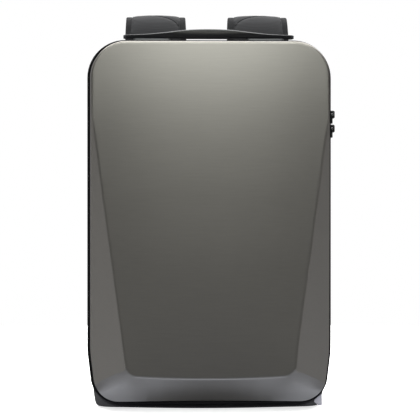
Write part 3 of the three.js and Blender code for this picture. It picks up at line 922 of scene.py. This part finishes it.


# Shoulder straps: a padded core, a bound edge and a seam along each side, and a fold over the top; the dark
# cords of the seams and the fold are partly painted shade in their creases
strapColumns = ("x", "behind", "z", "half")
strapRows = (
    (-68.5, 98.6, 414, 37),
    (-68.5, 100.6, 448, 41),
    (-68.5, 106, 486, 41),
    (-68.5, 119, 511.4, 40),
    (-68.5, 138, 510, 40),
    (-68.5, 153, 478, 40),
    (-68.5, 159, 430, 39),
    (-69, 159, 375, 38),
    (-72, 154, 320, 36),
    (-77, 145, 268, 33),
    (-83.8, 134.8, 221.6, 28),
)
strapSize = {
    "steps": 70,
    "closeSteps": 560,
    "coreInset": 4.5,  # the core's edge lies this far inside the strap's edge
    "coreThick": 8.6,
    "coreRound": 0.35,
    "voxel": 4.0,
    "crown": 2.4,
    "heldEdge": 5.0,
    "pressure": 9.0,
    "frames": 20,
    "cap": 5.0,
    "smoothing": 4,
    "binding": (0, 9.2, 6.8, 0.3),  # inset, width, thickness, roundness
    "seam": (8.9, 1.3, 8.2, 0.3),
    "foldFrom": -38.5,  # x where the fold line meets the inner binding
    "foldTo": -88.0,
    "foldLow": 503.0,
    "foldBend": 0.6,
    "foldPoints": 16,
    "foldAbove": 30.0,  # the line is dropped on to the padding from here
    "foldRadius": 0.7,
    "foldDeep": 1.0,
    "foldSunk": 0.7,
    "foldReach": 4.5,
}


# strips of one width along both edges of the strap
def sweepEdges(name, stations, inset, wide, thick, roundness):
    strips = []
    for side in (-1, 1):
        shifted = []
        for station in stations:
            offset = side * (station["half"] - inset - wide / 2)
            shifted.append(dict(station, at=station["at"] + Vector((offset * mm, 0, 0))))
        strips.append(sweepStrip(name, shifted, lambda station: wide, thick, roundness))
    edges = joinPieces(strips, name)
    subdivide(edges)
    smoothShade(edges)
    return edges


def outOf(station):
    return Vector((0, -math.cos(station["lean"]), -math.sin(station["lean"])))


# lifts both faces of the strap towards its middle
def crownStrap(core, stations, size):
    tree = kdtree.KDTree(len(stations))
    for i, station in enumerate(stations):
        tree.insert((0, station["at"].y, station["at"].z), i)
    tree.balance()
    for vert in core.data.vertices:
        near = stations[tree.find((0, vert.co.y, vert.co.z))[1]]
        out = outOf(near)
        across = (vert.co.x - near["at"].x) / ((near["half"] - size["coreInset"]) * mm)
        depth = (vert.co - near["at"]).dot(out) / (size["coreThick"] / 2 * mm)
        vert.co += out * size["crown"] * max(0, 1 - across**2) * max(-1, min(1, depth)) * mm


# a fold line that runs aslant over the top of the strap, sunk into the padding, with a dark cord in its
# groove that is partly a stitched line and partly painted shade
def makeFold(core, stations, size):
    top = max(range(len(stations)), key=lambda i: stations[i]["z"])
    low = next(i for i, station in enumerate(stations) if station["z"] > size["foldLow"])
    count = size["foldPoints"]
    points = []
    for k in range(count):
        share = k / (count - 1)
        station = stations[round(low + (top - low) * share ** size["foldBend"])]
        out = outOf(station)
        start = station["at"] + out * size["foldAbove"] * mm
        start.x = (size["foldFrom"] + (size["foldTo"] - size["foldFrom"]) * share) * mm
        points.append((core.ray_cast(start, -out)[1], out))
    for vert in core.data.vertices:
        spot, out = min(points, key=lambda point: (point[0] - vert.co).length)
        near = 1 - (spot - vert.co).length / (size["foldReach"] * mm)
        if near > 0:
            vert.co -= out * size["foldDeep"] * mm * near
    deselectAll()
    # the dark cord laid in the groove is partly painted shade
    bpy.ops.curve.primitive_nurbs_path_add()
    fold = bpy.context.object
    line = fold.data.splines[0]
    line.points.add(count - len(line.points))
    for point, (spot, out) in zip(line.points, points):
        point.co = (*(spot - out * size["foldSunk"] * size["foldDeep"] * mm), 1)
    fold.data.bevel_depth = size["foldRadius"] * mm
    fold.data.bevel_resolution = 3
    bpy.ops.object.convert(target="MESH")
    fold = namePiece("strap_fold_left")
    smoothShade(fold)
    return fold


def makeStrap(size):
    stations = addLean(smoothRows(strapColumns, strapRows, size["steps"]))
    closer = addLean(smoothRows(strapColumns, strapRows, size["closeSteps"]))

    def coreWide(station):
        return 2 * (station["half"] - size["coreInset"])

    def atEdge(at):
        near = min(stations, key=lambda station: (station["at"].yz - at.yz).length)
        return abs(at.x - near["at"].x) > (coreWide(near) / 2 - size["heldEdge"]) * mm

    core = sweepStrip("strap_core_left", stations, coreWide, size["coreThick"], size["coreRound"])
    puffUp(core, size, atEdge)
    crownStrap(core, closer, size)
    fold = makeFold(core, closer, size)
    binding = sweepEdges("strap_binding_left", stations, *size["binding"])
    # dark cords along the bindings' inner edges: seams, and painted shade in the creases there
    seam = sweepEdges("strap_seam_left", stations, *size["seam"])
    return core, binding, seam, fold


strapLeft = makeStrap(strapSize)
strapRight = [mirrorCopy(piece, piece.name.replace("left", "right")) for piece in strapLeft]
# the seams and the fold get the dark finish that carries painted crease shade
strapFinishes = ("strapCloth", "strapBinding", "seamThread", "seamThread")
for pieces, node in ((strapLeft, "strap_left"), (strapRight, "strap_right")):
    for piece, finish in zip(pieces, strapFinishes):
        dress(piece, finish)
    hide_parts(node)
print("straps", len(strapLeft[0].data.polygons))


# Back pad
padSize = {
    "half": 104.0,
    "top": 405.0,
    "bottom": 52.0,
    "corner": 34.0,
    "cornerSteps": 10,
    "front": 95.3,
    "thick": 6.0,
    "backInset": 3.0,
    "heldDepth": 1.5,
    "voxel": 5.0,
    "pressure": 4.0,
    "frames": 20,
    "cap": 5.0,
    "smoothing": 6,
}


def makePad(size):
    low = place(-size["half"], size["front"], size["bottom"])
    high = place(size["half"], size["front"] + size["thick"], size["top"])
    pad = addBlock("back_pad_soft", low, high)
    editPiece(pad)
    pick(pad, "EDGE", lambda edge: abs(edge.verts[0].co.y - edge.verts[1].co.y) > samePlace)
    roundPicked(size["corner"], size["cornerSteps"])
    pick(pad, "FACE", lambda face: face.normal.y > facing)
    bpy.ops.mesh.inset(thickness=size["backInset"] * mm, depth=0)
    leaveEdit()
    puffUp(pad, size, lambda at: at.y < low.y + size["heldDepth"] * mm)
    return pad


backPad = makePad(padSize)
dress(backPad, "padMesh", "back_pad")
print("back pad", len(backPad.data.polygons))


# Webbing from the straps down to the lower corners
webbingColumns = ("x", "behind", "z")
webbingRows = (  # from inside the strap's end through the buckle
    (-82.6, 136.6, 228),
    (-85.8, 131.8, 210),
    (-88.6, 127.6, 194),
    (-97, 119, 150),
    (-110, 109, 96),
    (-123, 101, 52),
    (-130, 98.6, 26),
)
webbingSize = {"steps": 24, "wide": 25.0, "thick": 1.8, "round": 0.4}


def makeWebbing(size):
    stations = addLean(smoothRows(webbingColumns, webbingRows, size["steps"]))
    wide, thick = size["wide"], size["thick"]
    strip = sweepStrip("webbing_left_strip", stations, lambda station: wide, thick, size["round"])
    smoothShade(strip)
    return strip


dressPair(makeWebbing(webbingSize), "webbing", "webbing")


# Flat cloth tabs cut to an outline: slope is how far they run back for each mm along X
tabSize = {"edge": 0.45, "edgeSteps": 2, "edgeAngle": 30, "smooth": 40}
anchorSize = {
    "behind": 95.3,
    "slope": 0.0,
    "thick": 1.8,
    "outline": ((-146.5, 4), (-146.5, 40), (-140, 44), (-110, 11), (-112, 5)),  # x, z
}
cornerTabSize = {
    "behind": 18.4,
    "slope": 0.95,
    "thick": 1.6,
    "outline": ((136.6, 11.8), (145.3, 17.2), (147.2, 19.4), (147.5, 3.6), (143, 3.2), (136.4, 8.6)),
}


def makeTab(name, size):
    outline = size["outline"]
    deselectAll()
    bpy.ops.mesh.primitive_circle_add(vertices=len(outline), radius=10 * mm, fill_type="NGON")
    tab = namePiece(name)
    editPiece(tab)
    mesh = bmesh.from_edit_mesh(tab.data)
    mesh.verts.ensure_lookup_table()
    for vert, (x, z) in zip(mesh.verts, outline):
        vert.co = place(x, size["behind"] + (x - outline[0][0]) * size["slope"], z)
    bmesh.update_edit_mesh(tab.data)
    pickAll("FACE")
    extrude((0, size["thick"] * mm, 0))
    leaveEdit()
    faceOutwards(tab)
    easeEdges(tab, tabSize["edge"], tabSize["edgeSteps"], tabSize["edgeAngle"])
    smoothShade(tab, tabSize["smooth"])
    return tab


dressPair(makeTab("anchor_left_cloth", anchorSize), "webbing", "anchor_tab")
dress(makeTab("corner_tab_cloth", cornerTabSize), "greyWebbing", "corner_tab")
print("webbing and tabs")


# Carry handle
handleColumns = ("x", "bottom", "top", "half")
handleRows = (
    (0, 480.4, 491, 14),
    (26, 480.4, 490.2, 14),
    (50, 480.2, 487.6, 13),
    (75, 480, 485, 12),
    (94, 479.9, 484, 11),
    (103, 479.8, 483.8, 10.5),
    (108, 479.9, 483.8, 9),
    (110.6, 480.4, 483.2, 5.5),
)
handleSize = {
    "behind": 35.0,
    "corner": 0.2,
    "cornerSteps": 7,
    "steps": 72,
    "drop": 0.5,
    "narrowing": 0.24,
    "edge": 0.9,
    "edgeAngle": 50,
    "smooth": 45,
}
footSize = {
    "x": 73.5,
    "half": 24.5,
    "deep": 17.0,
    "bottom": 472.4,
    "top": 479.5,
    "corner": 4.0,
    "cornerSteps": 5,
    "flare": 1.12,
    "edge": 0.8,
    "edgeAngle": 50,
    "smooth": 40,
}


def makeHandle(size):
    rows = [(-row[0], *row[1:]) for row in handleRows[:0:-1]] + list(handleRows)
    stations = smoothRows(handleColumns, rows, size["steps"])
    for station in stations:
        station["bottom"] -= size["drop"]
        station["tall"] = station["top"] - station["bottom"]
        station["at"] = place(station["x"], size["behind"], (station["top"] + station["bottom"]) / 2)
    first = stations[0]
    deselectAll()
    bpy.ops.mesh.primitive_plane_add(size=1, location=first["at"], rotation=(0, math.pi / 2, 0))
    handle = namePiece("carry_handle_grip", (first["tall"] * mm, 2 * first["half"] * mm, 1))
    editPiece(handle)
    pickAll("VERT")
    roundPicked(size["corner"] * first["tall"], size["cornerSteps"], "VERTICES")
    mesh = bmesh.from_edit_mesh(handle.data)
    for vert in mesh.verts:  # narrower below
        below = (first["top"] * mm - vert.co.z) / (first["tall"] * mm)
        vert.co.y = first["at"].y + (vert.co.y - first["at"].y) * (1 - size["narrowing"] * below)
    bmesh.update_edit_mesh(handle.data)
    pickAll("FACE")
    for last, here in zip(stations, stations[1:]):
        extrude(here["at"] - last["at"])
        scalePicked((1, here["half"] / last["half"], here["tall"] / last["tall"]), here["at"])
    leaveEdit()
    faceOutwards(handle)
    easeEdges(handle, size["edge"], 3, size["edgeAngle"])
    smoothShade(handle, size["smooth"])
    return handle


def makeFoot(size):
    low = place(-size["x"] - size["half"], handleSize["behind"] - size["deep"] / 2, size["bottom"])
    high = place(-size["x"] + size["half"], handleSize["behind"] + size["deep"] / 2, size["top"])
    foot = addBlock("handle_foot_left_block", low, high)
    editPiece(foot)
    pick(foot, "EDGE", lambda edge: abs(edge.verts[0].co.z - edge.verts[1].co.z) > samePlace)
    roundPicked(size["corner"], size["cornerSteps"])
    pick(foot, "FACE", lambda face: face.normal.z < -facing)
    scalePicked((1, size["flare"], 1), (low + high) / 2)
    leaveEdit()
    easeEdges(foot, size["edge"], 3, size["edgeAngle"])
    smoothShade(foot, size["smooth"])
    return foot


carryHandle = makeHandle(handleSize)
dress(carryHandle, "handleGrip", "carry_handle")
# the feet get the grey finish that carries painted sheen
dressPair(makeFoot(footSize), "handleFoot", "handle_foot")
print("handle", len(carryHandle.data.polygons))


# Hard fittings: copies of the frame's solids with their edges eased
fittingSize = {"flat": 2.0, "edgeAngle": 40, "smooth": 35}
fittingRows = (
    # node, body, finish, slot, edge in mm
    ("slider_upper", "bag", "blackEnamel", "zip_metal", 0.35),
    ("slider_lower", "bag", "blackEnamel", "zip_metal", 0.35),
    ("pull_upper", "pull_upper", "blackEnamel", "zip_metal", 0.22),
    ("pull_lower", "pull_lower", "blackEnamel", "zip_metal", 0.22),
    ("buckle_left", "bag", "buckle", "buckle", 0.7),
    ("buckle_right", "bag", "buckle", "buckle", 0.7),
)


def easeFitting(node, edge, size):
    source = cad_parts[node]
    fitting = bpy.data.objects.new(node + "_eased", source.data.copy())
    scene.collection.objects.link(fitting)
    faceOutwards(fitting)
    editPiece(fitting)
    pickAll()
    bpy.ops.mesh.dissolve_limited(angle_limit=math.radians(size["flat"]))
    leaveEdit()
    easeEdges(fitting, edge, 2, size["edgeAngle"])
    smoothShade(fitting, size["smooth"])
    return fitting


for node, body, finish, slot, edge in fittingRows:
    dress(easeFitting(node, edge, fittingSize), finish, node, body)
print("fittings")


# Stage, light and camera
floorSize = {
    "radius": 1600.0,
    "corners": 96,
    "drop": 0.2,
    "colour": (0.9, 0.9, 0.9, 1),
    "roughness": 0.9,
    "glow": 0.72,
}
cameraSize = {
    "distance": 2200.0,
    "height": 257.0,
    "turn": -1.8,
    "aim": 0.8,
    "frame": 537.6,
    "sensor": 36.0,
    "clipEnd": 50,  # m
}


def makeFloor(size):
    deselectAll()
    bpy.ops.mesh.primitive_circle_add(
        vertices=size["corners"],
        radius=size["radius"] * mm,
        fill_type="NGON",
        location=(0, 0, -size["drop"] * mm),
    )
    floor = namePiece("floor")
    material = bpy.data.materials.new("paleFloor")
    material.use_nodes = True
    surface = {
        "Base Color": size["colour"],
        "Roughness": size["roughness"],
        "Emission Color": white,
        "Emission Strength": size["glow"],
    }
    fillInputs(material.node_tree, material.node_tree.nodes["Principled BSDF"], surface)
    floor.data.materials.append(material)
    floor.visible_glossy = False  # the world below stands for it in reflections


# light that the part sees round it: a plain room that is paler above, and patches in it
roomLook = {"low": (0.06, 0.06, 0.06, 1), "high": (0.42, 0.42, 0.42, 1)}
# each row of a patch: direction, start, full, strength at start, strength at full
backdropLook = {  # behind
    "colour": white,
    "rows": (("along", -0.3, 0.3, 0, 1), ("up", 0.15, 0.6, 0, 0.9)),
}
stripLook = {  # behind on the left, seen in the shell's side wall
    "colour": white,
    "rows": (("across", -0.05, -0.2, 0, 0.26), ("along", 0.5, 0.9, 0, 1), ("up", 0.35, 0.1, 0, 1)),
}
glowLook = {  # the pale floor, weaker to the sides and close in front
    "colour": (0.76, 0.83, 1.0, 1),
    "rows": (
        ("up", 0.05, -0.55, 0, 1.74),
        ("along", 0.5, 0.0, 0, 1),
        ("sideways", 0.02, 0.45, 1, 0.46),
        ("along", -1.0, -0.1, 0.15, 1),
    ),
}


def makeWorld(room, patches):
    world = bpy.data.worlds.new("studio")
    scene.world = world
    world.use_nodes = True
    tree = world.node_tree
    tree.nodes.clear()
    coords = addNode(tree, "ShaderNodeTexCoord").outputs["Generated"]
    apart = addNode(tree, "ShaderNodeSeparateXYZ", {"Vector": coords}).outputs
    sideways = addNode(tree, "ShaderNodeMath", {0: apart["X"]}, operation="ABSOLUTE").outputs["Value"]
    directions = {"across": apart["X"], "along": apart["Y"], "up": apart["Z"], "sideways": sideways}

    def rise(direction, start, full, least, most):
        limits = {"From Min": start, "From Max": full, "To Min": least, "To Max": most}
        limits["Value"] = directions[direction]
        node = addNode(tree, "ShaderNodeMapRange", limits, interpolation_type="SMOOTHSTEP")
        return node.outputs["Result"]

    heights = addNode(tree, "ShaderNodeValToRGB", {"Fac": apart["Z"]})
    heights.color_ramp.elements[0].color = room["low"]
    heights.color_ramp.elements[1].color = room["high"]
    light = addNode(tree, "ShaderNodeBackground", {"Color": heights.outputs["Color"]}).outputs[0]
    for look in patches:
        strength = rise(*look["rows"][0])
        for row in look["rows"][1:]:
            product = addNode(tree, "ShaderNodeMath", {0: strength, 1: rise(*row)}, operation="MULTIPLY")
            strength = product.outputs["Value"]
        patch = addNode(tree, "ShaderNodeBackground", {"Color": look["colour"], "Strength": strength})
        light = addNode(tree, "ShaderNodeAddShader", {0: light, 1: patch.outputs[0]}).outputs[0]
    plain = addNode(tree, "ShaderNodeBackground", {"Color": white}).outputs[0]  # what the camera sees
    seen = addNode(tree, "ShaderNodeLightPath").outputs["Is Camera Ray"]
    shown = addNode(tree, "ShaderNodeMixShader", {"Fac": seen, 1: light, 2: plain}).outputs[0]
    addNode(tree, "ShaderNodeOutputWorld", {"Surface": shown})


lampRows = (
    # name, place in m, aim in m, width, height, power in W, colour
    ("softboxFront", (0.1, -2.72, 1.83), (0.0, -0.12, 0.35), 1.32, 1.7, 49.5, (0.95, 1.0, 0.98)),
    ("softboxTop", (0.0, 0.3, 2.4), (0.0, 0.0, 0.3), 3.6, 2.0, 138.0, (1.0, 1.0, 1.0)),
    ("softboxLeft", (-2.02, -1.31, -0.3), (-0.13, -0.1, 0.16), 1.2, 1.8, 3.2, (1.0, 1.0, 1.0)),
    ("softboxRight", (2.02, -1.31, -0.3), (0.13, -0.1, 0.16), 1.2, 1.8, 2.35, (1.0, 1.0, 1.0)),
)


def makeLamps():
    for name, spot, aim, width, height, power, colour in lampRows:
        data = bpy.data.lights.new(name, "AREA")
        data.shape = "RECTANGLE"
        data.size = width
        data.size_y = height
        data.energy = power
        data.color = colour
        lamp = bpy.data.objects.new(name, data)
        scene.collection.objects.link(lamp)
        lamp.location = spot
        lamp.rotation_euler = (Vector(aim) - Vector(spot)).to_track_quat("-Z", "Y").to_euler()
        lamp.visible_camera = False


def makeCamera(size):
    turn = math.radians(size["turn"])
    data = bpy.data.cameras.new("photoCamera")
    data.sensor_width = size["sensor"]
    data.lens = size["sensor"] * size["distance"] / size["frame"]
    data.clip_end = size["clipEnd"]
    camera = bpy.data.objects.new("photoCamera", data)
    scene.collection.objects.link(camera)
    back = size["distance"]
    camera.location = place(back * math.sin(turn) + size["aim"], -back * math.cos(turn), size["height"])
    camera.rotation_euler = (math.pi / 2, 0, turn)
    scene.camera = camera


makeFloor(floorSize)
makeWorld(roomLook, (backdropLook, stripLook, glowLook))
makeLamps()
makeCamera(cameraSize)
scene.view_settings.view_transform = "Standard"
print("stage ready")

bpy.context.view_layer.update()
